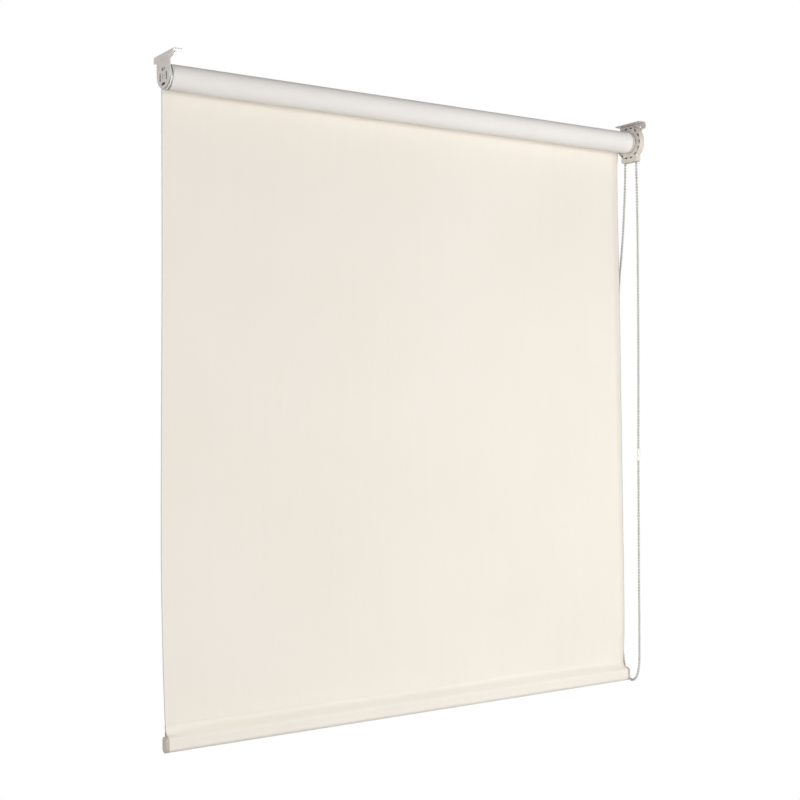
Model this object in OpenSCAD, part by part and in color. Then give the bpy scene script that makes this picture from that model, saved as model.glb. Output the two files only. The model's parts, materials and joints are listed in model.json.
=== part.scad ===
// Chain-operated roller blind with a plain screen cloth.
// X runs along the roller, -Y faces the room, +Y faces the wall and +Z is up.
// The origin is the middle of the four ceiling screws, on the top faces of the bracket flanges.

/* [Overall] */
// Width over the outer faces of the two brackets
overall_w = 1026; // [500:1:1800]
// Ceiling down to the roller's axis
axis_drop = 39; // [37:0.5:60]
// Ceiling down to the middle of the bottom bar
bar_drop = 1107; // [400:1:2000]

/* [Brackets] */
// Thickness of the bent plate
plate_t = 2; // [1.5:0.1:3]
// Width of the flange along the roller
flange_w = 17; // [14:0.5:24]
// Length of the flange from wall side to room side
flange_l = 72; // [62:1:90]
// Height of the wide part of the plate
shoulder_h = 13; // [12:0.5:18]
// Width of the tongue that carries the roller
tongue_w = 50; // [44:1:58]
// Roller's axis down to the end of the tongue
tongue_below = 19; // [17:0.5:24]
// Inner radius of the bend
bend_r = 1.5; // [0.5:0.1:2.5]
// Radius of the plate's outer corners
corner_r = 3; // [1:0.5:5]
// Diameter of the screw holes
screw_d = 5; // [3:0.5:6]
// Distance between the two screw holes of a row
screw_pitch = 42; // [30:1:48]
// Ceiling down to the side screw holes
side_hole_drop = 8.5; // [8:0.5:10]
// Radius of the ring of four slots
slot_ring_r = 12; // [11:0.5:13]
// Length of a slot
slot_l = 14; // [8:0.5:15]
// Width of a slot
slot_w = 5; // [4:0.5:6]

/* [Tube and cloth] */
// Outer diameter of the tube
tube_d = 38; // [34:0.5:42]
// Wall of the tube
tube_wall = 1.2; // [0.8:0.1:2]
// Height of the fins inside the tube
fin_h = 1.4; // [0.8:0.1:2]
// Width of the fins inside the tube
fin_w = 2; // [1:0.1:3]
// Thickness of the cloth
cloth_t = 0.55; // [0.3:0.05:0.8]
// Turns of cloth on the tube
roll_turns = 4; // [2:1:7]
// Bare tube at each end of the cloth
cloth_inset = 0.4; // [0.3:0.1:5]
// Thickness of the fixing tape
tape_t = 0.2; // [0.1:0.05:0.3]
// Width of the fixing tape around the tube
tape_w = 20; // [10:1:30]

/* [Idle end] */
// Gap between the left bracket and the plug's flange
idle_gap = 1.6; // [0.5:0.1:4]
// Thickness of the plug's flange
idle_flange_t = 2.8; // [1.2:0.1:4]
// How far the end flanges stand out from the tube
flange_lip = 2; // [1:0.1:4]
// Length of the plug inside the tube
plug_l = 42; // [36:1:60]
// Depth of the hollow in the plug's face
plug_hollow = 14; // [6:1:30]
// Plug wall in front of the pin's collar
plug_front = 5; // [3:0.5:8]
// Diameter of the idle pin
pin_d = 6; // [4:0.5:7]
// How far the pin can be pressed in
pin_travel = 7; // [4:0.5:9]
// Pin tip behind the outer face of the bracket
pin_recess = 0.5; // [0.2:0.1:1.5]
// Diameter of the pin's collar
collar_d = 10; // [9:0.5:13]
// Thickness of the pin's collar
collar_t = 3; // [2:0.5:4]
// Diameter of the pin's tail inside the spring
tail_d = 4.4; // [3:0.1:5]
// Thickness of the spring's seat
seat_t = 3; // [2:0.5:4]
// Wire of the idle spring
idle_wire = 0.9; // [0.5:0.1:1.2]
// Turns of the idle spring
idle_coils = 9; // [5:1:12]

/* [Clutch] */
// Outer diameter of the housing
housing_d = 66; // [58:0.5:68]
// Wall of the housing's rim
housing_wall = 1.5; // [1:0.1:3]
// Back plate of the housing
back_t = 2.1; // [1.5:0.1:4]
// Room inside the housing for the sprocket
cavity_w = 8.4; // [8:0.1:12]
// Thickness of the cover
cover_t = 1.2; // [1:0.1:3]
// Radial depth of the notches in the cover's rim
notch_h = 3; // [1.5:0.1:5]
// Number of lugs around the cover
cover_lugs = 14; // [8:1:18]
// Width of a lug
lug_w = 7.5; // [4:0.5:9]
// Width of the chin that the chain leaves by
chin_w = 42; // [40:0.5:50]
// Roller's axis down to the end of the chin
chin_drop = 38.5; // [36:0.5:42]
// Diameter of the fixed shaft
shaft_d = 12; // [10:0.5:13]
// Gap between the cover and the core's flange
core_gap = 1; // [0.4:0.1:3]
// Thickness of the core's flange
core_flange_t = 5; // [1:0.1:6]
// Length of the core inside the tube
core_l = 44; // [40:1:60]
// End wall of the core
core_end = 4; // [3:0.5:6]
// Width of the sprocket
sprocket_w = 7; // [6:0.1:7.5]
// Length of the sprocket's sleeve
sleeve_l = 15; // [10:0.5:18]
// Wall of the sprocket's sleeve
sleeve_wall = 3; // [2:0.1:4]
// Wire of the brake springs
brake_wire = 1.5; // [1:0.1:1.6]
// Turns of a brake spring
brake_coils = 7; // [4:1:7]
// Diameter of the retaining screw
retain_d = 4; // [3:0.5:5]
// Length of the retaining screw in the shaft
retain_l = 14; // [8:1:20]
// Height of the retaining screw's head
retain_head = 3; // [2:0.5:4]
// Thickness of the retaining washer
washer_t = 1.2; // [0.8:0.1:2]
// Diameter of the retaining washer
washer_d = 18; // [15:0.5:22]

/* [Chain] */
// Diameter of a bead
bead_d = 4.5; // [3.5:0.1:4.6]
// Distance between beads
bead_pitch = 6; // [5.8:0.1:6.4]
// Pockets around the sprocket
sprocket_beads = 16; // [14:2:18]
// Diameter of the cord that carries the beads
chain_cord_d = 1.2; // [0.8:0.1:1.6]
// Roller's axis down to the connector
connector_drop = 620; // [200:1:800]
// Diameter of the connector
connector_d = 7.8; // [7:0.1:9]
// Diameter of the connector's tail
connector_tail_d = 6; // [5.6:0.1:6.8]

/* [Bottom bar] */
// Depth of the bar from room side to wall side
bar_depth = 14; // [10:0.5:18]
// Height of the bar
bar_h = 25; // [20:0.5:32]
// Wall of the bar
bar_wall = 1.2; // [0.8:0.1:2]
// Rise of the pocket's neck above the bar
neck_h = 4; // [2:0.5:10]
// Height of the weld that closes the pocket
weld_h = 4; // [2:0.5:8]
// Thickness of an end cap outside the bar
cap_t = 4.5; // [2:0.5:8]
// Raised middle of an end cap
cap_crown = 0.5; // [0.3:0.1:0.7]
// Length of an end cap inside the bar
cap_plug_l = 14; // [8:1:25]

/* [Fits] */
// Radial clearance of a shaft in its bore
run_clear = 0.08; // [0.05:0.01:0.1]
// Clearance of a part that is pushed into another
push_clear = 0.1; // [0.05:0.01:0.15]
// Clearance around soft or coiled pieces
soft_clear = 0.3; // [0.2:0.05:0.5]

/* [Hidden] */
$fn = 48;
eps = 0.5;

// Places along the roller, from the left bracket to the right one
left_out = -overall_w / 2;
left_in = left_out + plate_t;
idle_face = left_in + idle_gap;
tube_left = idle_face + idle_flange_t;
right_out = overall_w / 2;
right_in = right_out - plate_t;
back_in = right_in - back_t;
cover_back = back_in - cavity_w;
shell_front = cover_back - cover_t;
core_face = shell_front - core_gap;
tube_right = core_face - core_flange_t;
cloth_left = tube_left + cloth_inset;
cloth_right = tube_right - cloth_inset;
cloth_w = cloth_right - cloth_left;
chain_x = cover_back + cavity_w / 2;

// Brackets
bend_out = bend_r + plate_t;
flange_hole_x = (bend_out + flange_w) / 2;
tongue_mid = -axis_drop - tongue_below + tongue_w / 2;
ledge = (flange_l - tongue_w) / 2;
neck_r = min(5, ledge / 2);
pin_hole_r = pin_d / 2 + run_clear;

// Tube and cloth
tube_r = tube_d / 2;
tube_in_r = tube_r - tube_wall;
roll_r = tube_r + roll_turns * cloth_t;
turn_notch = 0.3;
cloth_front = roll_r + soft_clear;
tape_angle = tape_w / tube_r * 180 / PI;
fins = 3;
ribs = 6;
rib_w = 3;
rib_h = fin_h + 0.6;

// Idle end
collar_x = tube_left + plug_front;
collar_end = collar_x + collar_t;
idle_cave_r = collar_d / 2 + soft_clear;
plug_end = tube_left + plug_l;
seat_x = plug_end - seat_t;
tail_end = seat_x - pin_travel / 2;
idle_coil_r = (tail_d / 2 + idle_cave_r) / 2;

// Clutch
housing_r = housing_d / 2;
housing_in_r = housing_r - housing_wall;
cover_r = housing_in_r - notch_h;
shaft_r = shaft_d / 2;
sprocket_r = sprocket_beads * bead_pitch / (2 * PI);
rim_r = sprocket_r + 0.8;
rim_front = chain_x - sprocket_w / 2;
sleeve_r = shaft_r + sleeve_wall;
sleeve_end = rim_front - sleeve_l;
core_cave_r = sleeve_r + soft_clear;
core_in = tube_right - core_l;
core_wall = core_in + core_end;
washer_x = core_in - soft_clear - washer_t;
brake_r = shaft_r + brake_wire / 2 + soft_clear;
brake_l = (sleeve_end - core_wall) / 2 - soft_clear;
finger_in_r = brake_r + brake_wire / 2 + soft_clear / 2;
finger_angle = 50;
pocket_r = bead_d / 2 + 0.45;
channel_w = bead_d + 3;

// Bottom bar
bar_r = bar_depth / 2;
bar_straight = bar_h - bar_depth;
bar_y = cloth_front - push_clear - bar_r;
bar_low = -bar_drop - bar_h / 2;
weld_low = bar_h / 2 + neck_h;
weld_top = weld_low + weld_h;
panel_end = weld_top - bar_drop;

// The free loop of the chain, room strand first, as distances from the roller's axis in Y and Z
CHAIN_POINTS = [
    [-16, -50], [-17.5, -120], [-18, -220], [-17.3, -420], [-14.8, -630], [-13.6, -840],
    [-13.2, -980], [-12.4, -1040], [-10, -1058], [-5.5, -1070], [1, -1078], [9, -1081],
    [17, -1078], [24, -1069], [30, -1052], [35, -1025], [40, -980], [45, -900], [48, -780],
    [49, -640], [48, -500], [44, -380], [35, -272], [25, -190], [18.5, -110], [15.8, -50]
];
chain_start = [-sprocket_r, 0];
chain_end = [sprocket_r, 0];
chain_route = concat([chain_start], CHAIN_POINTS, [chain_end]);

STEEL = [0.80, 0.78, 0.75];
IVORY = [0.90, 0.88, 0.83];
CLOTH = [0.94, 0.92, 0.86];
ALUMINIUM = [0.78, 0.79, 0.80];
SPRING = [0.55, 0.55, 0.56];
CAP = [0.76, 0.71, 0.63];
BEAD = [0.86, 0.85, 0.82];

// Running totals of the distances between points
function run_lengths(points) = [
    for (i = 0, s = 0; i < len(points);
        s = s + (i + 1 < len(points) ? norm(points[i + 1] - points[i]) : 0), i = i + 1) s
];

// Slope of a smooth curve at point i, with upright ends
function slope_at(points, runs, i) =
    i == 0 ? [0, -1] :
    i == len(points) - 1 ? [0, 1] :
    (points[i + 1] - points[i - 1]) / (runs[i + 1] - runs[i - 1]);

// A point at share u of the smooth curve from point i to the next one
function curve_point(points, runs, i, u) =
    let (span = runs[i + 1] - runs[i], v = 1 - u)
    points[i] * (1 + 2 * u) * v * v
    + slope_at(points, runs, i) * span * u * v * v
    + points[i + 1] * u * u * (3 - 2 * u)
    - slope_at(points, runs, i + 1) * span * u * u * v;

// The smooth curve through the points, with some steps between each pair
function curve(points, steps) =
    let (runs = run_lengths(points))
    concat(
        [for (i = [0:len(points) - 2], k = [0:steps - 1]) curve_point(points, runs, i, k / steps)],
        [points[len(points) - 1]]
    );

// Beads of the free loop, evenly spaced along it
loop_fine = curve(chain_route, 16);
loop_runs = run_lengths(loop_fine);
loop_l = loop_runs[len(loop_runs) - 1];
loop_beads = round(loop_l / bead_pitch);
loop_pitch = loop_l / loop_beads;
loop_y = [for (i = [0:len(loop_fine) - 1]) [loop_runs[i], loop_fine[i][0]]];
loop_z = [for (i = [0:len(loop_fine) - 1]) [loop_runs[i], loop_fine[i][1]]];
function loop_bead(i) = [lookup(i * loop_pitch, loop_y), lookup(i * loop_pitch, loop_z)];

// Beads over the top of the sprocket, from the wall side to the room side
wrap_beads = sprocket_beads / 2;
wrap_step = 360 / sprocket_beads;
function wrap_bead(i) = sprocket_r * [cos(i * wrap_step), sin(i * wrap_step)];

// The connector takes four beads, half of them above its middle
connector_beads = 4;
connector_first = round(connector_drop / loop_pitch);
connector_last = connector_first + connector_beads - 1;
connector_top = loop_bead(connector_first);
connector_low = loop_bead(connector_last);
connector_mid = (connector_top + connector_low) / 2;
connector_run = connector_top - connector_low;
connector_half = loop_pitch * connector_beads / 2;
connector_tilt = atan2(-connector_run[0], connector_run[1]);

// Places a shape that is drawn about Z on the roller's axis, starting at x
module on_axis(x) {
    translate([x, 0, -axis_drop]) rotate([0, 90, 0]) children();
}

// Draws an outline in Y and Z and gives it a length along the roller
module along_x(from, to) {
    translate([from, 0, 0]) rotate([90, 0, 90]) linear_extrude(to - from) children();
}

// A ring or a disc about the roller's axis
module ring(from, to, outer_r, inner_r = 0) {
    on_axis(from) difference() {
        cylinder(h = to - from, r = outer_r);
        if (inner_r > 0) translate([0, 0, -eps]) cylinder(h = to - from + 2 * eps, r = inner_r);
    }
}

// A flat outline with round ends, upright in Y and Z
module oval(width, height) {
    union() {
        square([width, height - width], center = true);
        for (s = [-1, 1]) translate([0, s * (height - width) / 2]) circle(d = width);
    }
}

module rounded_rectangle(width, height, r) {
    union() {
        square([width - 2 * r, height], center = true);
        square([width, height - 2 * r], center = true);
        for (i = [-1, 1], j = [-1, 1])
            translate([i * (width / 2 - r), j * (height / 2 - r)]) circle(r = r);
    }
}

// Slots around the roller's axis, at the given angles
module slots(angles, length, width) {
    translate([0, -axis_drop]) for (a = angles)
        rotate(a) translate([slot_ring_r, 0]) oval(width, length);
}

// A closed tube of triangles around rings of points
module skin(points, sides, closed) {
    count = len(points) / sides;
    bands = closed ? count : count - 1;
    walls = [
        for (j = [0:bands - 1], k = [0:sides - 1], half = [0, 1])
            let (a = j * sides, b = (j + 1) % count * sides, n = (k + 1) % sides)
            half == 0 ? [a + k, b + k, b + n] : [a + k, b + n, a + n]
    ];
    ends = closed ? [] : [
        [for (k = [0:sides - 1]) k],
        [for (k = [sides - 1:-1:0]) (count - 1) * sides + k]
    ];
    polyhedron(points = points, faces = concat(walls, ends), convexity = 10);
}

// A wire coil about the roller's axis
module coil(from, length, coil_r, wire, coils) {
    steps = 20;
    sides = 8;
    count = coils * steps;
    points = [
        for (j = [0:count], k = [0:sides - 1])
            let (
                turn = 360 * j / steps,
                around = 360 * k / sides,
                x = from + wire / 2 + (length - wire) * j / count,
                r = coil_r + wire / 2 * cos(around)
            )
            [x + wire / 2 * sin(around), r * cos(turn), r * sin(turn) - axis_drop]
    ];
    skin(points, sides, false);
}

// A plug that fits between the fins of the tube
module ribbed_plug(from, to) {
    ring(from, to, tube_in_r - rib_h);
    for (i = [0:ribs - 1])
        on_axis(from) rotate((i + 0.5) * 360 / ribs) intersection() {
            translate([0, -rib_w / 2, 0]) cube([tube_in_r, rib_w, to - from]);
            cylinder(h = to - from, r = tube_in_r - push_clear / 2);
        }
}

// Outline of the upright plate below its bend, in Y and Z
module plate_outline() {
    shoulder_mid = -(bend_out + shoulder_h) / 2;
    difference() {
        union() {
            translate([0, shoulder_mid + bend_out / 2])
                rounded_rectangle(flange_l, shoulder_h, corner_r);
            translate([-tongue_w / 2, tongue_mid]) square([tongue_w, -bend_out - tongue_mid]);
            translate([0, tongue_mid]) circle(d = tongue_w, $fn = 96);
            for (s = [-1, 1]) translate([s * tongue_w / 2, -shoulder_h]) difference() {
                translate([s * neck_r / 2, -neck_r / 2]) square(neck_r + 0.02, center = true);
                translate([s * neck_r, -neck_r]) circle(r = neck_r);
            }
        }
        translate([-flange_l, -bend_out]) square([2 * flange_l, 2 * bend_out]);
        for (s = [-1, 1])
            translate([s * screw_pitch / 2, -side_hole_drop]) circle(d = screw_d);
        translate([0, -axis_drop]) circle(r = pin_hole_r);
        slots([0, 90, 180, 270], slot_l, slot_w);
    }
}

// The part of the plate beside the bend has square ends, as the flange has
module bracket() {
    along_x(0, plate_t) plate_outline();
    along_x(0, plate_t) difference() {
        translate([-flange_l / 2, -shoulder_h / 2 - bend_out / 2])
            square([flange_l, (shoulder_h - bend_out) / 2]);
        for (s = [-1, 1])
            translate([s * screw_pitch / 2, -side_hole_drop]) circle(d = screw_d);
    }
    translate([bend_out, 0, -bend_out]) rotate([90, 0, 0])
        linear_extrude(flange_l, center = true) intersection() {
            difference() {
                circle(r = bend_out);
                circle(r = bend_r);
            }
            translate([-bend_out, 0]) square(bend_out);
        }
    translate([0, 0, -plate_t]) linear_extrude(plate_t) difference() {
        intersection() {
            translate([(flange_w - corner_r) / 2, 0])
                rounded_rectangle(flange_w + corner_r, flange_l, corner_r);
            translate([bend_out, -flange_l / 2]) square([flange_w, flange_l]);
        }
        for (s = [-1, 1])
            translate([flange_hole_x, s * screw_pitch / 2]) circle(d = screw_d);
    }
}

module left_bracket() {
    color(STEEL) translate([left_out, 0, 0]) bracket();
}

module right_bracket() {
    color(STEEL) translate([right_out, 0, 0]) mirror([1, 0, 0]) bracket();
}

// Round shell with a chin below, and two hooks in the slots of the bracket
module clutch_housing() {
    color(IVORY) {
        difference() {
            union() {
                ring(shell_front, right_in, housing_r);
                along_x(shell_front, right_in)
                    translate([0, -axis_drop - chin_drop / 2])
                        rounded_rectangle(chin_w, chin_drop, corner_r);
            }
            ring(shell_front - eps, back_in, housing_in_r);
            ring(back_in - eps, right_in + eps, shaft_r);
            for (s = [-1, 1])
                translate([cover_back, s * sprocket_r - channel_w / 2, -axis_drop - chin_drop - eps])
                    cube([cavity_w, channel_w, chin_drop]);
        }
        along_x(right_in - eps, right_out - pin_recess)
            slots([0, 180], slot_l - 2 * push_clear, slot_w - 2 * push_clear);
    }
}

// Notched disc in the mouth of the housing
module clutch_cover() {
    color(IVORY) difference() {
        union() {
            ring(shell_front, cover_back, cover_r);
            for (i = [0:cover_lugs - 1]) on_axis(shell_front) intersection() {
                rotate(i * 360 / cover_lugs) translate([0, -lug_w / 2, 0])
                    cube([housing_r, lug_w, cover_t]);
                cylinder(h = cover_t, r = housing_in_r - push_clear);
            }
        }
        ring(shell_front - eps, cover_back + eps, sleeve_r + 1);
    }
}

module clutch_shaft() {
    color(ALUMINIUM) difference() {
        union() {
            ring(core_in - soft_clear, right_in, shaft_r);
            ring(right_in - eps, right_out - pin_recess, pin_d / 2);
        }
        ring(core_in - soft_clear - eps, core_in - soft_clear + retain_l, retain_d / 2);
    }
}

module clutch_washer() {
    color(SPRING) ring(washer_x, washer_x + washer_t, washer_d / 2, retain_d / 2);
}

module clutch_screw() {
    color(SPRING) {
        ring(washer_x, washer_x + washer_t + retain_l, retain_d / 2);
        difference() {
            ring(washer_x - retain_head, washer_x, retain_d);
            translate([washer_x - retain_head, -retain_d, -axis_drop - retain_d / 8])
                cube([retain_head / 2, 2 * retain_d, retain_d / 4]);
        }
    }
}

module bead_at(place) {
    translate([chain_x, place[0], place[1] - axis_drop]) sphere(d = bead_d, $fn = 24);
}

module bead_chain() {
    color(BEAD) {
        for (i = [0:wrap_beads]) bead_at(wrap_bead(i));
        for (i = [1:loop_beads - 1]) bead_at(loop_bead(i));
    }
}

// The endless cord inside the beads
module chain_cord() {
    sides = 8;
    wrap = [for (i = [1:wrap_beads - 1]) wrap_bead(i)];
    line = concat(wrap, curve(chain_route, 2));
    count = len(line);
    points = [
        for (j = [0:count - 1], k = [0:sides - 1])
            let (
                ahead = line[(j + 1) % count] - line[(j + count - 1) % count],
                side = [ahead[1], -ahead[0]] / norm(ahead),
                across = chain_cord_d / 2 * cos(360 * k / sides),
                out = line[j] + side * chain_cord_d / 2 * sin(360 * k / sides)
            )
            [chain_x + across, out[0], out[1] - axis_drop]
    ];
    color(BEAD) skin(points, sides, true);
}

// Ovoid joiner with a narrower tail below, hollow where the beads lie
module chain_connector() {
    r = connector_d / 2;
    color(IVORY) difference() {
        translate([chain_x, connector_mid[0], connector_mid[1] - axis_drop])
            rotate([connector_tilt, 0, 0]) difference() {
                union() {
                    translate([0, 0, connector_half - r]) sphere(r = r);
                    cylinder(h = connector_half - r, r = r);
                    sphere(r = r);
                    translate([0, 0, -connector_half])
                        cylinder(h = connector_half, d = connector_tail_d);
                }
                translate([0, 0, -2 * connector_half])
                    cylinder(h = 4 * connector_half, r = chain_cord_d / 2 + soft_clear);
            }
        for (i = [connector_first:connector_last])
            let (place = loop_bead(i))
            translate([chain_x, place[0], place[1] - axis_drop])
                sphere(r = bead_d / 2 + push_clear, $fn = 24);
    }
}

// Hanging cloth, from the wall side of the roll down to the weld of the hem
module cloth_panel() {
    color(CLOTH) translate([cloth_left, cloth_front, panel_end])
        cube([cloth_w, cloth_t, -axis_drop - panel_end]);
}

// Tube whose bore leaves three fins standing
module roller_tube() {
    tube_l = tube_right - tube_left;
    color(ALUMINIUM) on_axis(tube_left) difference() {
        cylinder(h = tube_l, r = tube_r);
        translate([0, 0, -eps]) difference() {
            cylinder(h = tube_l + 2 * eps, r = tube_in_r);
            for (i = [0:fins - 1]) rotate((i + 0.5) * 360 / fins)
                translate([tube_in_r - fin_h, -fin_w / 2, -eps])
                    cube([fin_h + tube_wall, fin_w, tube_l + 4 * eps]);
        }
    }
}

// Wound turns as one body, with a groove between the turns at both ends and room for the tape
module cloth_roll() {
    low = [for (i = [0:roll_turns], half = [0, 0.5]) if (i + half <= roll_turns)
        [tube_r + (i + half) * cloth_t, half == 0 ? turn_notch : 0]];
    high = [for (i = [len(low) - 1:-1:0]) [low[i][0], cloth_w - low[i][1]]];
    color(CLOTH) on_axis(cloth_left) difference() {
        rotate_extrude($fn = 96) polygon(concat(low, high));
        translate([0, 0, -eps]) rotate_extrude(angle = tape_angle)
            translate([tube_r - eps, 0]) square([eps + tape_t + 2 * push_clear, cloth_w + 2 * eps]);
    }
}

module fixing_tape() {
    color(IVORY) on_axis(cloth_left + turn_notch)
        rotate_extrude(angle = tape_angle)
            translate([tube_r + push_clear, 0]) square([tape_t, cloth_w - 2 * turn_notch]);
}

module idle_plug() {
    color(IVORY) difference() {
        union() {
            ring(idle_face, tube_left, tube_r + flange_lip);
            ribbed_plug(tube_left, plug_end);
        }
        ring(idle_face - eps, collar_x + eps, pin_hole_r);
        ring(collar_x, plug_end + eps, idle_cave_r);
        ring(idle_face - eps, idle_face + plug_hollow, tube_in_r - rib_h - 1.8, idle_cave_r + 1.6);
    }
}

module idle_seat() {
    color(IVORY) ring(seat_x, plug_end, idle_cave_r, tail_d / 2 + soft_clear);
}

module idle_spring() {
    color(SPRING) coil(collar_end, seat_x - collar_end, idle_coil_r, idle_wire, idle_coils);
}

module idle_pin() {
    color(SPRING) {
        ring(left_out + pin_recess, collar_x + eps, pin_d / 2);
        ring(collar_x, collar_end, collar_d / 2);
        ring(collar_end - eps, tail_end, tail_d / 2);
    }
}

module drive_core() {
    color(IVORY) difference() {
        union() {
            ring(tube_right, core_face, tube_r + flange_lip);
            ribbed_plug(core_in, tube_right);
        }
        ring(core_in - eps, core_wall + eps, shaft_r + run_clear);
        ring(core_wall, core_face + eps, core_cave_r);
    }
}

module brake_spring(from) {
    color(SPRING) coil(from, brake_l, brake_r, brake_wire, brake_coils);
}

module brake_spring_inner() {
    brake_spring(core_wall + soft_clear / 2);
}

module brake_spring_outer() {
    brake_spring(core_wall + brake_l + soft_clear);
}

// Chain wheel with a sleeve and a finger that pushes the ends of the brake springs
module sprocket() {
    color(IVORY) {
        difference() {
            union() {
                ring(rim_front, rim_front + sprocket_w, rim_r);
                ring(sleeve_end, rim_front + eps, sleeve_r);
            }
            ring(sleeve_end - eps, rim_front + sprocket_w + eps, shaft_r + run_clear);
            for (i = [0:sprocket_beads - 1])
                on_axis(chain_x) rotate(i * wrap_step) rotate([0, 90, 0]) {
                    translate([0, 0, sprocket_r]) sphere(r = pocket_r);
                    translate([0, 0, sprocket_r]) cylinder(h = bead_d, r = pocket_r);
                }
            ring(chain_x - chain_cord_d, chain_x + chain_cord_d, rim_r + eps, sprocket_r - chain_cord_d);
        }
        on_axis(core_wall + soft_clear) rotate_extrude(angle = finger_angle)
            translate([finger_in_r, 0])
                square([sleeve_r - finger_in_r, sleeve_end - core_wall - soft_clear + eps]);
    }
}

module bar_outline(grow) {
    translate([bar_y, -bar_drop]) oval(bar_depth + 2 * grow, bar_h + 2 * grow);
}

module bottom_bar() {
    color(ALUMINIUM) along_x(cloth_left, cloth_right) difference() {
        bar_outline(0);
        bar_outline(-bar_wall);
    }
}

// Where a line from point p touches a circle on its room side
function touch_point(p, middle, r) =
    let (
        gap = p - middle,
        turn = atan2(gap[1], gap[0]) + acos(r / norm(gap))
    )
    middle + r * [cos(turn), sin(turn)];

// The pocket's outline: the bar with a neck that leads up to the weld
module pocket_outline(grow, back, front, top) {
    middle = [bar_y, bar_straight / 2 - bar_drop];
    foot = [front, weld_low - bar_drop];
    union() {
        bar_outline(grow);
        polygon([
            middle, [back, middle[1]], [back, top - bar_drop], [front, top - bar_drop], foot,
            touch_point(foot, middle, bar_r + grow)
        ]);
    }
}

module hem_pocket() {
    color(CLOTH) along_x(cloth_left, cloth_right) difference() {
        pocket_outline(push_clear + cloth_t, cloth_front + cloth_t, cloth_front - cloth_t, weld_top);
        pocket_outline(push_clear, cloth_front, cloth_front, weld_low);
    }
}

// Cap over the end of the bar, drawn for the left end
module bar_cap() {
    along_x(-cap_t, 0) bar_outline(push_clear + cloth_t);
    along_x(-cap_t - cap_crown, -cap_t) bar_outline(push_clear + cloth_t - 1);
    along_x(-eps, cap_plug_l) bar_outline(-bar_wall - push_clear);
}

module bar_cap_left() {
    color(CAP) translate([cloth_left, 0, 0]) bar_cap();
}

module bar_cap_right() {
    color(CAP) translate([cloth_right, 0, 0]) mirror([1, 0, 0]) bar_cap();
}

left_bracket();
right_bracket();
clutch_housing();
clutch_cover();
clutch_shaft();
clutch_washer();
clutch_screw();
bead_chain();
chain_cord();
chain_connector();
cloth_panel();
roller_tube();
cloth_roll();
fixing_tape();
idle_plug();
idle_seat();
idle_spring();
drive_core();
brake_spring_outer();
brake_spring_inner();
sprocket();
idle_pin();
bottom_bar();
hem_pocket();
bar_cap_left();
bar_cap_right();
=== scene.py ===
import json
import math

import bmesh
import bpy
from mathutils import Euler, Matrix, Vector

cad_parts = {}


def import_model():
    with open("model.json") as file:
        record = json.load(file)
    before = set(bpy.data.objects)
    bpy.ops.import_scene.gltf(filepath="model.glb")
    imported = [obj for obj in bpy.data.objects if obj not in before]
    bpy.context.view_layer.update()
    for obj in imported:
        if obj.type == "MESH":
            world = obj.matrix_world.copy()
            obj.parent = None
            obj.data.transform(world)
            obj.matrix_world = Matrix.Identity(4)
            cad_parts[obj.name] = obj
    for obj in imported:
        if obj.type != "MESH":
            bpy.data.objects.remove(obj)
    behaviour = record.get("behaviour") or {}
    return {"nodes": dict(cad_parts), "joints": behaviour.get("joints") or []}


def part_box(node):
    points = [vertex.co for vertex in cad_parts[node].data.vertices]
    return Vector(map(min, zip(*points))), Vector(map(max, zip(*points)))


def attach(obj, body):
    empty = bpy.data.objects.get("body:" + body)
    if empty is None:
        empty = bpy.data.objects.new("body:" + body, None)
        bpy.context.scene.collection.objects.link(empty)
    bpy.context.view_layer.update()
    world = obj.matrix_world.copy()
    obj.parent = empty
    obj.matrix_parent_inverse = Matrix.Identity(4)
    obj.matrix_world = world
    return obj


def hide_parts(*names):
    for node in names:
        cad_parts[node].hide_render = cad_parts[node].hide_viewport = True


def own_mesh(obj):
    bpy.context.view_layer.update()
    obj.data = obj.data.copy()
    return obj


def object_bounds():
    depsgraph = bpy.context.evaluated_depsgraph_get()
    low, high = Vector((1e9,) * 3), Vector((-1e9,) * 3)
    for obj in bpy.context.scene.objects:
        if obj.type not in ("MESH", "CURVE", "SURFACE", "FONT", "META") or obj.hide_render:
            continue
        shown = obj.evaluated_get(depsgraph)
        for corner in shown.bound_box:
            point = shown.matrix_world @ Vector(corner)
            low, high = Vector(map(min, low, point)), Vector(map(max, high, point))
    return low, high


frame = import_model()
CAD_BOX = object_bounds()

# Camera, fitted to the edges of the brackets, the roll and the bottom bar
CAMERA_AT = (-1.4091, -1.9926, -0.5781)
CAMERA_YAW = math.radians(34.08)
CAMERA_PITCH = math.radians(0.53)
CAMERA_ROLL = math.radians(-0.41)
FOCAL_PX = 1352
PICTURE_PX = 800
SENSOR_MM = 36

# Places that the frame gives, in metres
JOINTS = {joint["name"]: joint for joint in frame["joints"]}
AXIS_Z = JOINTS["roller_spin"]["pos_m"][2]
PANEL_LOW, PANEL_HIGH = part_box("cloth_panel")
HEM_LOW, HEM_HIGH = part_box("hem_pocket")
CHAIN_X = sum(corner.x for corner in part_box("bead_chain")) / 2
CLOTH_LEFT, CLOTH_RIGHT = PANEL_LOW.x, PANEL_HIGH.x
CLOTH_W = CLOTH_RIGHT - CLOTH_LEFT
CLOTH_T = PANEL_HIGH.y - PANEL_LOW.y
CLOTH_Y = (PANEL_LOW.y + PANEL_HIGH.y) / 2
ROLL_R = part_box("cloth_roll")[1].y

# The cloth: its yarns, and a darker line along each side edge
YARN_PITCH = 0.0011
DARK_EDGE_W = 0.0012
DARK_EDGE_FADE = 0.0006

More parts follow.
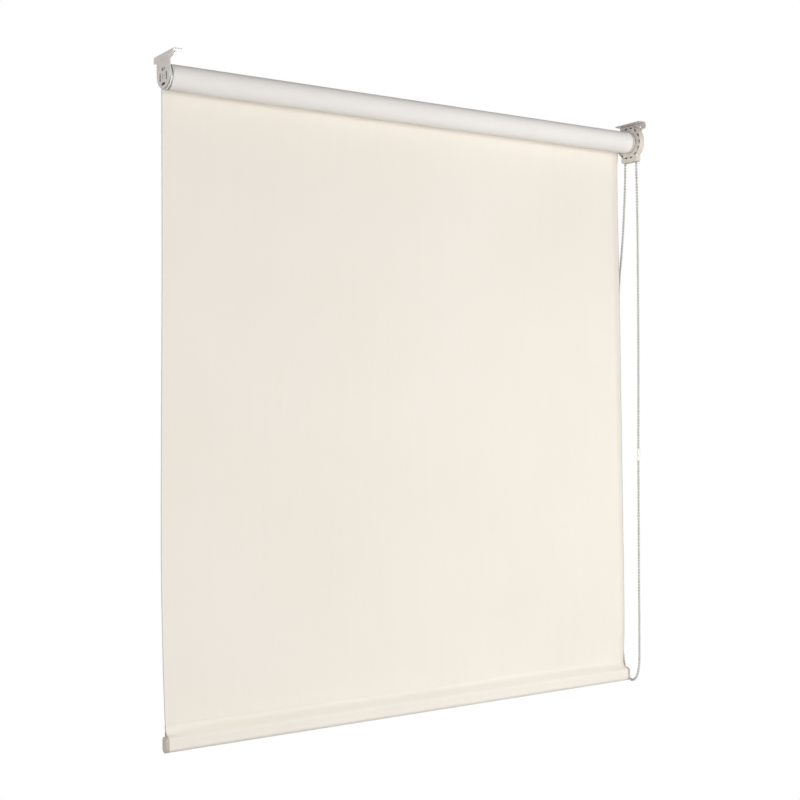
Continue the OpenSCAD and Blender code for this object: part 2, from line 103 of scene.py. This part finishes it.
# The panel: how far its side edges stand towards the wall by share of the drop, and how that fades inwards
EDGE_LEFT = [(0, 0), (0.3, 0.003), (0.55, 0.009), (0.75, 0.012), (0.9, 0.007), (1, 0)]
EDGE_RIGHT = [(0, 0), (0.05, 0.005), (0.3, 0.001), (0.7, -0.003), (0.93, -0.0045), (1, 0)]
EDGE_REACH = 3.5
PANEL_COLUMNS = 61
PANEL_ROWS = 81

# The roll: angles go from the wall side over the top
ROLL_TURNS = 4
TURN_STEPS = 96
ROLL_END = math.radians(35)
ROLL_INSET = 0.0016
LIP_ANGLE = math.radians(70)
LIP_EASE = 1.5
LIP_ROWS = 13

# The hem: the flat stretch of the bar, the angle at which the cloth leaves the bar's top, and the weld
BAR_STRAIGHT = 0.011
HEM_OVER = math.radians(24)
HEM_OVER_END = math.radians(75)
HEM_ENDS = 0.06
HEM_RISE = 0.009
WELD_H = 0.004
BACK_POINTS = 7
UNDER_POINTS = 25
OVER_POINTS = 13
NECK_POINTS = 12
WELD_POINTS = 4
HEM_END_COLUMNS = 9
HEM_MIDDLE_COLUMNS = 7

# The chain: its loop from the sprocket's room side to its wall side, as Y and Z from the roller's axis
CHAIN_POINTS = [
    (-0.016, -0.050), (-0.0175, -0.120), (-0.018, -0.220), (-0.0173, -0.420), (-0.0148, -0.630),
    (-0.0136, -0.840), (-0.0132, -0.980), (-0.0124, -1.040), (-0.01, -1.058), (-0.0055, -1.070),
    (0.001, -1.078), (0.009, -1.081), (0.017, -1.078), (0.024, -1.069), (0.03, -1.052),
    (0.035, -1.025), (0.04, -0.980), (0.045, -0.900), (0.048, -0.780), (0.049, -0.640),
    (0.048, -0.500), (0.044, -0.380), (0.035, -0.272), (0.025, -0.190), (0.0185, -0.110),
    (0.0158, -0.050),
]
CHAIN_STEPS = 16
OVER_SPROCKET_POINTS = 33
BEAD_D = 0.0054
BEAD_PITCH = 0.006
BEAD_SIDES = 14
BEAD_RINGS = 7
SPROCKET_BEADS = 16
CHAIN_CORD_D = 0.0016
CHAIN_CORD_SIDES = 7

# Rounded edges of mouldings and plates
SAME_POINT = 1e-6
FLAT_ANGLE = math.radians(0.5)
SHARP_ANGLE = math.radians(35)
EDGE_SEGMENTS = 2

# Floor and light, the lights as place, size in metres and power in watts
FLOOR_DROP = 0.5
FLOOR_R = 0.9
FLOOR_SIDES = 96
FLOOR_FADE = (0.45 * FLOOR_R, 0.98 * FLOOR_R)
FLOOR_GREY = 0.55
FLOOR_WHITE = 0.6
SKY_LOW, SKY_HIGH = 0.04, 0.2
LIGHT_AIM = (0, 0, -0.5)
LIGHTS = {
    "key_light": ((0.8, -2.1, -0.58), 1.8, 47.5),
    "fill_light": ((-3.0, -1.1, -0.5), 1.6, 55),
    "back_light": ((0.6, 2.8, -0.3), 1.8, 58),
}


# Curves


def spread(low, high, count):
    """Evenly spaced values from low to high."""
    return [low + (high - low) * i / (count - 1) for i in range(count)]


def hermite(start, end, leave, arrive, u):
    """The place at share u of a smooth curve, with its direction at both ends."""
    v = 1 - u
    ends = start * ((1 + 2 * u) * v * v) + end * (u * u * (3 - 2 * u))
    return ends + leave * (u * v * v) - arrive * (u * u * v)


def smooth_through(points, at):
    """The value at one place of a smooth curve through (place, value) points."""
    last = len(points) - 2
    i = next(k for k in range(last + 1) if at <= points[k + 1][0] or k == last)
    (x0, y0), (x1, y1) = points[i], points[i + 1]
    before, after = points[max(i - 1, 0)], points[min(i + 2, last + 1)]
    span = x1 - x0
    leave = (y1 - before[1]) / (x1 - before[0]) * span
    arrive = (after[1] - y0) / (after[0] - x0) * span
    return hermite(y0, y1, leave, arrive, min(max((at - x0) / span, 0), 1))


def run_lengths(line):
    """The length of a line up to each of its points."""
    runs = [0.0]
    for a, b in zip(line, line[1:]):
        runs.append(runs[-1] + (b - a).length)
    return runs


def even_points(line, pitch):
    """Points along a line, at the whole number of steps that is nearest to the pitch."""
    runs = run_lengths(line)
    count = round(runs[-1] / pitch)
    made = []
    i = 0
    for k in range(count + 1):
        at = runs[-1] * k / count
        while i < len(line) - 2 and runs[i + 1] < at:
            i += 1
        share = (at - runs[i]) / max(runs[i + 1] - runs[i], 1e-9)
        made.append(line[i].lerp(line[i + 1], min(share, 1)))
    return made


# Materials


def node(tree, kind, inputs=None, **settings):
    """A shader node with its settings, and its inputs as values or links."""
    made = tree.nodes.new("ShaderNode" + kind)
    for name, value in settings.items():
        setattr(made, name, value)
    for name, value in (inputs or {}).items():
        if isinstance(value, bpy.types.NodeSocket):
            tree.links.new(value, made.inputs[name])
        else:
            made.inputs[name].default_value = value
    return made


def math_node(tree, operation, first, second=0.0):
    return node(tree, "Math", {0: first, 1: second}, operation=operation).outputs[0]


def noise(tree, place, scale, detail=2.0):
    return node(tree, "TexNoise", {"Vector": place, "Scale": scale, "Detail": detail}).outputs["Fac"]


def ramp(tree, factor, *stops):
    """A colour that runs through two or three (place, colour) stops as the factor grows."""
    made = node(tree, "ValToRGB", {"Fac": factor})
    elements = made.color_ramp.elements
    if len(stops) == 3:
        elements.new(0.5)
    for element, (place, colour) in zip(elements, stops):
        element.position = place
        element.color = (*colour, 1)
    return made.outputs["Color"]


def new_material(name, **constants):
    """A material with one principled shader, and the shader's constant sockets set."""
    made = bpy.data.materials.new(name)
    made.use_nodes = True
    tree = made.node_tree
    tree.nodes.clear()
    sockets = {key.replace("_", " "): value for key, value in constants.items()}
    shader = node(tree, "BsdfPrincipled", sockets)
    node(tree, "OutputMaterial", {"Surface": shader.outputs["BSDF"]})
    return made, tree, shader


def dress(tree, shader, colour, gloss, relief):
    """Links a shader's colour, and its roughness and bump through a range node and a bump node."""
    tree.links.new(colour, shader.inputs["Base Color"])
    tree.links.new(node(tree, "MapRange", gloss).outputs["Result"], shader.inputs["Roughness"])
    tree.links.new(node(tree, "Bump", relief).outputs["Normal"], shader.inputs["Normal"])


def cloth_material(name, colour, shade, dark_edge):
    """Coated screen cloth: flat yarns in a plain weave, slow changes of tone, and a darker line along each
    side edge.
    """
    made, tree, shader = new_material(name, Specular_IOR_Level=0.25, Sheen_Weight=0.06, Sheen_Roughness=0.5)
    uv = node(tree, "UVMap", uv_map="weave").outputs["UV"]
    apart = node(tree, "SeparateXYZ", {"Vector": uv})
    yarn = 2 * math.pi / YARN_PITCH
    across = math_node(tree, "SINE", math_node(tree, "MULTIPLY", apart.outputs["X"], yarn))
    along = math_node(tree, "SINE", math_node(tree, "MULTIPLY", apart.outputs["Y"], yarn))
    weave = math_node(tree, "MULTIPLY", across, along)
    stripe = node(tree, "Mapping", {"Vector": uv, "Scale": (14.0, 1.2, 1.0)}).outputs["Vector"]
    cloudy = math_node(tree, "MULTIPLY", noise(tree, stripe, 4.0), 0.25)
    cloudy = math_node(tree, "ADD", noise(tree, uv, 2.2), cloudy)
    tone = math_node(tree, "ADD", math_node(tree, "MULTIPLY", weave, 0.10), cloudy)
    # Near each side edge the tone falls to the darker edge colour, drawn as a line on the cloth's faces
    for cut, inside in ((0, 1), (CLOTH_W, -1)):
        from_cut = node(tree, "MapRange", {
            "Value": apart.outputs["X"],
            "From Min": cut + inside * DARK_EDGE_W,
            "From Max": cut + inside * (DARK_EDGE_W + DARK_EDGE_FADE),
        })
        tone = math_node(tree, "MULTIPLY", tone, from_cut.outputs["Result"])
    dress(tree, shader, ramp(tree, tone, (0, dark_edge), (0.35, shade), (0.95, colour)),
          gloss={"Value": weave, "From Min": -1.0, "To Min": 0.86, "To Max": 0.72},
          relief={"Height": weave, "Strength": 0.25, "Distance": 0.00012})
    return made


def moulded_material(name, colour, shade, roughness):
    """Moulded plastic: a fine spark-eroded grain and a little unevenness of tone and gloss."""
    made, tree, shader = new_material(name, IOR=1.46)
    place = node(tree, "TexCoord").outputs["Object"]
    slow = noise(tree, place, 60.0, 3.0)
    grain = noise(tree, place, 900.0, 1.0)
    dress(tree, shader, ramp(tree, slow, (0.3, shade), (0.7, colour)),
          gloss={"Value": slow, "To Min": roughness - 0.06, "To Max": roughness + 0.08},
          relief={"Height": grain, "Strength": 0.35, "Distance": 0.00003})
    return made


def painted_material(name, colour, shade):
    """Powder coat on steel plate: soft orange peel, and a slightly darker tone in patches."""
    made, tree, shader = new_material(name, IOR=1.5, Coat_Weight=0.15, Coat_Roughness=0.3)
    place = node(tree, "TexCoord").outputs["Object"]
    slow = noise(tree, place, 45.0, 3.0)
    peel = noise(tree, place, 650.0, 2.0)
    dress(tree, shader, ramp(tree, slow, (0.3, shade), (0.7, colour)),
          gloss={"Value": peel, "To Min": 0.34, "To Max": 0.5},
          relief={"Height": peel, "Strength": 0.3, "Distance": 0.00006})
    return made


def metal_material(name, colour, shade, roughness):
    """Bare metal with fine lines along X, as drawing leaves them."""
    made, tree, shader = new_material(name, Metallic=1.0)
    place = node(tree, "TexCoord").outputs["Object"]
    drawn = node(tree, "Mapping", {"Vector": place, "Scale": (4.0, 900.0, 900.0)}).outputs["Vector"]
    lines = noise(tree, drawn, 1.0, 3.0)
    dress(tree, shader, ramp(tree, lines, (0.3, shade), (0.7, colour)),
          gloss={"Value": lines, "To Min": roughness - 0.08, "To Max": roughness + 0.1},
          relief={"Height": lines, "Strength": 0.2, "Distance": 0.00002})
    return made


# The third colour of each cloth is the darker line along its side edges
CLOTH_ROOM = cloth_material("cloth_room_side", (0.86, 0.815, 0.735), (0.82, 0.77, 0.69), (0.57, 0.55, 0.52))
CLOTH_BACK = cloth_material("cloth_wall_side", (0.86, 0.83, 0.80), (0.82, 0.787, 0.757), (0.57, 0.55, 0.53))
IVORY = moulded_material("ivory_plastic", (0.70, 0.655, 0.60), (0.64, 0.60, 0.545), 0.45)
CAP = moulded_material("cap_plastic", (0.56, 0.49, 0.41), (0.50, 0.43, 0.36), 0.45)
BEAD = moulded_material("bead_plastic", (0.53, 0.512, 0.485), (0.46, 0.445, 0.42), 0.3)
JOINER = moulded_material("joiner_plastic", (0.84, 0.82, 0.77), (0.79, 0.77, 0.72), 0.35)
PLUG = moulded_material("plug_plastic", (0.79, 0.765, 0.715), (0.74, 0.715, 0.665), 0.4)
TAPE = moulded_material("fixing_tape", (0.78, 0.74, 0.66), (0.72, 0.68, 0.60), 0.5)
STEEL = painted_material("bracket_paint", (0.68, 0.63, 0.60), (0.61, 0.565, 0.535))
ALUMINIUM = metal_material("aluminium", (0.80, 0.81, 0.82), (0.68, 0.69, 0.70), 0.36)
SPRING = metal_material("spring_steel", (0.52, 0.52, 0.53), (0.40, 0.40, 0.41), 0.3)


# Pieces


def add_piece(name, mesh, materials, body, replaces=()):
    """A new object that rides on a body and stands for some nodes."""
    made = bpy.data.objects.new(name, mesh)
    bpy.context.scene.collection.objects.link(made)
    for material in materials:
        mesh.materials.append(material)
    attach(made, body)
    if replaces:
        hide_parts(*replaces)
    return made


def grid_mesh(name, rows, uv_rows):
    """A smooth sheet of quads through rows of points, with the cloth's own flat coordinates in metres."""
    columns = len(rows[0])
    corners = [(j, i) for j in range(len(rows)) for i in range(columns)]
    faces = [
        (j * columns + i, j * columns + i + 1, (j + 1) * columns + i + 1, (j + 1) * columns + i)
        for j, i in corners if j < len(rows) - 1 and i < columns - 1
    ]
    mesh = bpy.data.meshes.new(name)
    mesh.from_pydata([point for row in rows for point in row], [], faces)
    layer = mesh.uv_layers.new(name="weave")
    for loop in mesh.loops:
        j, i = corners[loop.vertex_index]
        layer.data[loop.index].uv = uv_rows[j][i]
    mesh.shade_smooth()
    return mesh


def cloth_piece(name, rows, uv_rows, body, replaces=()):
    """A sheet of the cloth with its thickness, the room side's colour on its front."""
    mesh = grid_mesh(name, rows, uv_rows)
    made = add_piece(name, mesh, (CLOTH_ROOM, CLOTH_BACK), body, replaces)
    solid = made.modifiers.new("thickness", "SOLIDIFY")
    solid.thickness = CLOTH_T
    solid.offset = 0
    solid.material_offset = 1
    solid.use_even_offset = True
    made.modifiers.new("flat_faces", "WEIGHTED_NORMAL")
    return made


def hanging_cloth():
    """The panel below the roll, with side edges that stand a little off the flat."""
    top, bottom = AXIS_Z, PANEL_LOW.z
    shares = spread(0, 1, PANEL_COLUMNS)
    rows, uv_rows = [], []
    for up in spread(0, 1, PANEL_ROWS):
        left = smooth_through(EDGE_LEFT, 1 - up)
        right = smooth_through(EDGE_RIGHT, 1 - up)
        z = bottom + (top - bottom) * up
        row = []
        for s in shares:
            stand = left * (1 - s) ** EDGE_REACH + right * s ** EDGE_REACH
            row.append(Vector((CLOTH_LEFT + CLOTH_W * s, CLOTH_Y + stand, z)))
        rows.append(row)
        uv_rows.append([(CLOTH_W * s, z) for s in shares])
    made = cloth_piece("hanging_cloth", rows, uv_rows, "mounting", ("cloth_panel",))
    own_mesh(made)
    return made


def wound_cloth():
    """The turns on the tube, as one strip that winds inwards from the wall side over the top."""
    rows, uv_rows = [], []
    length = 0.0
    for k in range(ROLL_TURNS * TURN_STEPS + 1):
        angle = ROLL_END + 2 * math.pi * k / TURN_STEPS
        radius = ROLL_R - CLOTH_T / 2 - CLOTH_T * k / TURN_STEPS
        y, z = radius * math.cos(angle), AXIS_Z + radius * math.sin(angle)
        rows.append([Vector((x, y, z)) for x in (CLOTH_LEFT + ROLL_INSET, CLOTH_RIGHT)])
        uv_rows.append([(x, length) for x in (ROLL_INSET, CLOTH_W)])
        length += radius * 2 * math.pi / TURN_STEPS
    made = cloth_piece("wound_cloth", rows, uv_rows, "roller", ("cloth_roll",))


def cloth_lip():
    """Where the cloth leaves the roll: it lies on the roll above the panel and runs down into it."""
    rows, uv_rows = [], []
    for share in spread(0, 1, LIP_ROWS):
        angle = LIP_ANGLE * share
        radius = CLOTH_Y - (CLOTH_Y - ROLL_R + CLOTH_T) * share ** LIP_EASE
        y, z = radius * math.cos(angle), AXIS_Z + radius * math.sin(angle)
        rows.append([Vector((x, y, z)) for x in (CLOTH_LEFT, CLOTH_RIGHT)])
        uv_rows.append([(x, z) for x in (0, CLOTH_W)])
    return cloth_piece("cloth_lip", rows, uv_rows, "mounting")


def hem_outline(over_angle):
    """The cloth around the bar in Y and Z, from the weld down the wall side and up the room side."""
    half_depth = (HEM_HIGH.y - HEM_LOW.y - CLOTH_T) / 2
    middle_y = (HEM_HIGH.y + HEM_LOW.y) / 2
    low_z = HEM_LOW.z + CLOTH_T / 2 + half_depth
    high_z = low_z + BAR_STRAIGHT
    top_z = HEM_HIGH.z + HEM_RISE
    weld_y = middle_y + half_depth - CLOTH_T
    back = [Vector((middle_y + half_depth, z)) for z in spread(HEM_HIGH.z, low_z, BACK_POINTS)]
    under = [
        Vector((middle_y + half_depth * math.cos(a), low_z - half_depth * math.sin(a)))
        for a in spread(0, math.pi, UNDER_POINTS)[1:]
    ]
    over = [
        Vector((middle_y - half_depth * math.cos(a), high_z + half_depth * math.sin(a)))
        for a in spread(0, over_angle, OVER_POINTS)
    ]
    start, end = over[-1], Vector((weld_y, top_z - WELD_H))
    reach = (end - start).length
    leave = Vector((math.sin(over_angle), math.cos(over_angle))) * reach
    arrive = Vector((0, reach))
    neck = [hermite(start, end, leave, arrive, u) for u in spread(0, 1, NECK_POINTS)[1:]]
    weld = [Vector((weld_y, z)) for z in spread(end.y, top_z, WELD_POINTS)[1:]]
    return back + under + over + neck + weld


def hem():
    """The pocket around the bottom bar, tight over the bar at its ends and fuller between them."""
    near_end = spread(0, HEM_ENDS, HEM_END_COLUMNS)
    between = spread(HEM_ENDS, CLOTH_W - HEM_ENDS, HEM_MIDDLE_COLUMNS)[1:-1]
    far_end = [CLOTH_W - x for x in reversed(near_end)]
    columns = []
    for x in near_end + between + far_end:
        u = min(x, CLOTH_W - x, HEM_ENDS) / HEM_ENDS
        outline = hem_outline(HEM_OVER_END + (HEM_OVER - HEM_OVER_END) * u * u * (3 - 2 * u))
        runs = run_lengths(outline)
        columns.append([
            (Vector((CLOTH_LEFT + x, point.x, point.y)), (x, -run)) for point, run in zip(outline, runs)
        ])
    rows = [[point for point, uv in row] for row in zip(*columns)]
    uv_rows = [[uv for point, uv in row] for row in zip(*columns)]
    made = cloth_piece("hem", rows, uv_rows, "bottom_rail", ("hem_pocket",))


def chain_line():
    """The chain's middle in Y and Z from the roller's axis: its free loop, and its way over the sprocket."""
    radius = SPROCKET_BEADS * BEAD_PITCH / (2 * math.pi)
    points = [Vector(p) for p in [(-radius, 0), *CHAIN_POINTS, (radius, 0)]]
    runs = run_lengths(points)
    slopes = [Vector((0, -1))]
    for i in range(1, len(points) - 1):
        slopes.append((points[i + 1] - points[i - 1]) / (runs[i + 1] - runs[i - 1]))
    slopes.append(Vector((0, 1)))
    shares = [k / CHAIN_STEPS for k in range(CHAIN_STEPS)]
    line = []
    for i in range(len(points) - 1):
        span = runs[i + 1] - runs[i]
        leave, arrive = slopes[i] * span, slopes[i + 1] * span
        line += [hermite(points[i], points[i + 1], leave, arrive, u) for u in shares]
    over = [radius * Vector((math.cos(a), math.sin(a))) for a in spread(0, math.pi, OVER_SPROCKET_POINTS)]
    return line, over


def in_frame(point):
    """A point of the chain's line, as a point of the frame."""
    return Vector((CHAIN_X, point.x, point.y + AXIS_Z))


def bead_shape():
    """Points and faces of one bead, as rings around its upright axis."""
    points = [Vector((0, 0, -BEAD_D / 2))]
    for j in range(1, BEAD_RINGS + 1):
        tilt = math.pi * j / (BEAD_RINGS + 1)
        outward = math.sin(tilt)
        for k in range(BEAD_SIDES):
            a = 2 * math.pi * k / BEAD_SIDES
            spot = Vector((outward * math.cos(a), outward * math.sin(a), -math.cos(tilt)))
            points.append(BEAD_D / 2 * spot)
    points.append(Vector((0, 0, BEAD_D / 2)))
    top = len(points) - 1
    faces = []
    for k in range(BEAD_SIDES):
        n = (k + 1) % BEAD_SIDES
        faces.append((0, 1 + n, 1 + k))
        faces.append((top, top - BEAD_SIDES + k, top - BEAD_SIDES + n))
        for j in range(BEAD_RINGS - 1):
            low, high = 1 + j * BEAD_SIDES, 1 + (j + 1) * BEAD_SIDES
            faces.append((low + k, low + n, high + n, high + k))
    return points, faces


def chain_cord_shape(path):
    """Points and faces of the endless cord along a path."""
    sides = CHAIN_CORD_SIDES
    points, faces = [], []
    for i, point in enumerate(path):
        ahead = (path[(i + 1) % len(path)] - path[i - 1]).normalized()
        outward = Vector((0, ahead.y, -ahead.x))
        here, after = i * sides, (i + 1) % len(path) * sides
        for k in range(sides):
            n = (k + 1) % sides
            a = 2 * math.pi * k / sides
            offset = (Vector((1, 0, 0)) * math.cos(a) + outward * math.sin(a)) * CHAIN_CORD_D / 2
            points.append(in_frame(point) + offset)
            faces.append((here + k, here + n, after + n, after + k))
    return points, faces


def ball_chain():
    """An endless cord with beads moulded on it."""
    line, over = chain_line()
    free = line + over[:1]
    beads = even_points(free, BEAD_PITCH) + even_points(over, BEAD_PITCH)[1:-1]
    path = even_points(free + over[1:], CHAIN_CORD_D * 2)[:-1]
    bead_points, bead_faces = bead_shape()
    shapes = [([in_frame(bead) + point for point in bead_points], bead_faces) for bead in beads]
    shapes.append(chain_cord_shape(path))
    points, faces = [], []
    for shape_points, shape_faces in shapes:
        first = len(points)
        points += shape_points
        faces += [tuple(first + i for i in face) for face in shape_faces]
    mesh = bpy.data.meshes.new("ball_chain")
    mesh.from_pydata(points, [], faces)
    mesh.shade_smooth()
    made = add_piece("ball_chain", mesh, (BEAD,), "mounting", ("bead_chain", "chain_cord"))


def pressed_spring():
    """The spring behind the idle pin, as an object of its own with a copy of the node's mesh."""
    mesh = frame["nodes"]["idle_spring"].data.copy()
    mesh.materials.clear()
    made = add_piece("pressed_spring", mesh, (SPRING,), "roller", ("idle_spring",))
    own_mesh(made)


def finished(name, material, body, edge):
    """A node's own shape with its sharp edges rounded, as pressing or moulding leaves them."""
    bm = bmesh.new()
    bm.from_mesh(frame["nodes"][name].data)
    bmesh.ops.remove_doubles(bm, verts=bm.verts, dist=SAME_POINT)
    bmesh.ops.dissolve_limit(bm, angle_limit=FLAT_ANGLE, verts=bm.verts, edges=bm.edges)
    sharp = [e for e in bm.edges if len(e.link_faces) == 2 and e.calc_face_angle() > SHARP_ANGLE]
    bmesh.ops.bevel(bm, geom=sharp, offset=edge, offset_type="OFFSET", segments=EDGE_SEGMENTS, profile=0.5,
                    affect="EDGES", clamp_overlap=True)
    mesh = bpy.data.meshes.new(name + "_finished")
    bm.to_mesh(mesh)
    bm.free()
    mesh.shade_smooth()
    made = add_piece(name + "_finished", mesh, (material,), body, (name,))
    made.modifiers.new("flat_faces", "WEIGHTED_NORMAL")


hanging = hanging_cloth()
wound_cloth()
lip = cloth_lip()
hem()
ball_chain()
pressed_spring()

FINISHED = {
    "left_bracket": (STEEL, "mounting", "bracket_steel", 0.00025),
    "right_bracket": (STEEL, "mounting", "bracket_steel", 0.00025),
    "clutch_housing": (IVORY, "mounting", "ivory_plastic", 0.0003),
    "clutch_cover": (IVORY, "mounting", "ivory_plastic", 0.0002),
    "idle_plug": (PLUG, "roller", "ivory_plastic", 0.0003),
    "drive_core": (IVORY, "roller", "ivory_plastic", 0.0002),
    "bar_cap_left": (CAP, "bottom_rail", "cap_plastic", 0.0005),
    "bar_cap_right": (CAP, "bottom_rail", "cap_plastic", 0.0005),
}
for name, (material, body, slot, edge) in FINISHED.items():
    finished(name, material, body, edge)

PLAIN = {
    "clutch_shaft": ALUMINIUM, "roller_tube": ALUMINIUM, "bottom_bar": ALUMINIUM,
    "clutch_washer": SPRING, "clutch_screw": SPRING, "idle_pin": SPRING,
    "brake_spring_outer": SPRING, "brake_spring_inner": SPRING,
    "chain_connector": JOINER, "idle_seat": IVORY, "sprocket": IVORY, "fixing_tape": TAPE,
}
for name, material in PLAIN.items():
    mesh = frame["nodes"][name].data
    mesh.materials.clear()
    mesh.materials.append(material)


# Floor, light and camera


def looked_at(tree):
    """1 for a ray that looks at a surface, straight or by a reflection or through glass, and 0 for light."""
    paths = node(tree, "LightPath")
    bent = math_node(tree, "MAXIMUM", paths.outputs["Is Glossy Ray"], paths.outputs["Is Transmission Ray"])
    return math_node(tree, "MAXIMUM", paths.outputs["Is Camera Ray"], bent)


def floor():
    """A pale round floor well below the bar, which fades to white at its rim."""
    bm = bmesh.new()
    bmesh.ops.create_circle(bm, cap_ends=True, segments=FLOOR_SIDES, radius=FLOOR_R)
    mesh = bpy.data.meshes.new("floor")
    bm.to_mesh(mesh)
    bm.free()
    made = bpy.data.objects.new("floor", mesh)
    made.location = (0, 0, CAD_BOX[0].z - FLOOR_DROP)
    bpy.context.scene.collection.objects.link(made)
    material = bpy.data.materials.new("floor")
    material.use_nodes = True
    tree = material.node_tree
    tree.nodes.clear()
    place = node(tree, "TexCoord").outputs["Object"]
    away = node(tree, "VectorMath", {0: place}, operation="LENGTH").outputs["Value"]
    rim = node(tree, "MapRange", {"Value": away, "From Min": FLOOR_FADE[0], "From Max": FLOOR_FADE[1]},
               interpolation_type="SMOOTHSTEP")
    matt = node(tree, "BsdfDiffuse", {"Color": (FLOOR_GREY, FLOOR_GREY, FLOOR_GREY, 1)})
    white = node(tree, "Emission", {"Color": (1, 1, 1, 1), "Strength": 1.0})
    pale = math_node(tree, "MAXIMUM", rim.outputs["Result"], FLOOR_WHITE)
    share = math_node(tree, "MULTIPLY", looked_at(tree), pale)
    mixed = node(tree, "MixShader", {"Fac": share, 1: matt.outputs["BSDF"], 2: white.outputs["Emission"]})
    node(tree, "OutputMaterial", {"Surface": mixed.outputs["Shader"]})
    mesh.materials.append(material)


def world():
    """White to look at; as a light, a soft sky over a darker ground."""
    made = bpy.data.worlds.new("studio")
    bpy.context.scene.world = made
    made.use_nodes = True
    tree = made.node_tree
    tree.nodes.clear()
    place = node(tree, "TexCoord").outputs["Generated"]
    height = node(tree, "SeparateXYZ", {"Vector": place}).outputs["Z"]
    sky = node(tree, "MapRange", {
        "Value": height, "From Min": -0.15, "From Max": 0.35, "To Min": SKY_LOW, "To Max": SKY_HIGH,
    })
    lit = node(tree, "Background", {"Color": (1, 1, 1, 1), "Strength": sky.outputs["Result"]})
    white = node(tree, "Background", {"Color": (1, 1, 1, 1), "Strength": 1.0})
    mixed = node(tree, "MixShader", {
        "Fac": looked_at(tree), 1: lit.outputs["Background"], 2: white.outputs["Background"],
    })
    node(tree, "OutputWorld", {"Surface": mixed.outputs["Shader"]})


def soft_box(name, at, size, watts):
    """A square soft light that faces the middle of the blind."""
    data = bpy.data.lights.new(name, "AREA")
    data.shape = "SQUARE"
    data.size = size
    data.energy = watts
    made = bpy.data.objects.new(name, data)
    made.location = at
    made.rotation_euler = (Vector(LIGHT_AIM) - Vector(at)).to_track_quat("-Z", "Y").to_euler()
    bpy.context.scene.collection.objects.link(made)


def camera():
    """A camera at the photo's place and angle."""
    data = bpy.data.cameras.new("camera")
    data.sensor_width = SENSOR_MM
    data.lens = FOCAL_PX * SENSOR_MM / PICTURE_PX
    made = bpy.data.objects.new("camera", data)
    aimed = Euler((math.pi / 2 + CAMERA_PITCH, 0, -CAMERA_YAW)).to_matrix()
    turn = aimed @ Matrix.Rotation(CAMERA_ROLL, 3, "Z")
    made.matrix_world = Matrix.Translation(CAMERA_AT) @ turn.to_4x4()
    bpy.context.scene.collection.objects.link(made)
    bpy.context.scene.camera = made


floor()
world()
for name, (at, size, watts) in LIGHTS.items():
    soft_box(name, at, size, watts)
camera()
bpy.context.scene.view_settings.view_transform = "Standard"
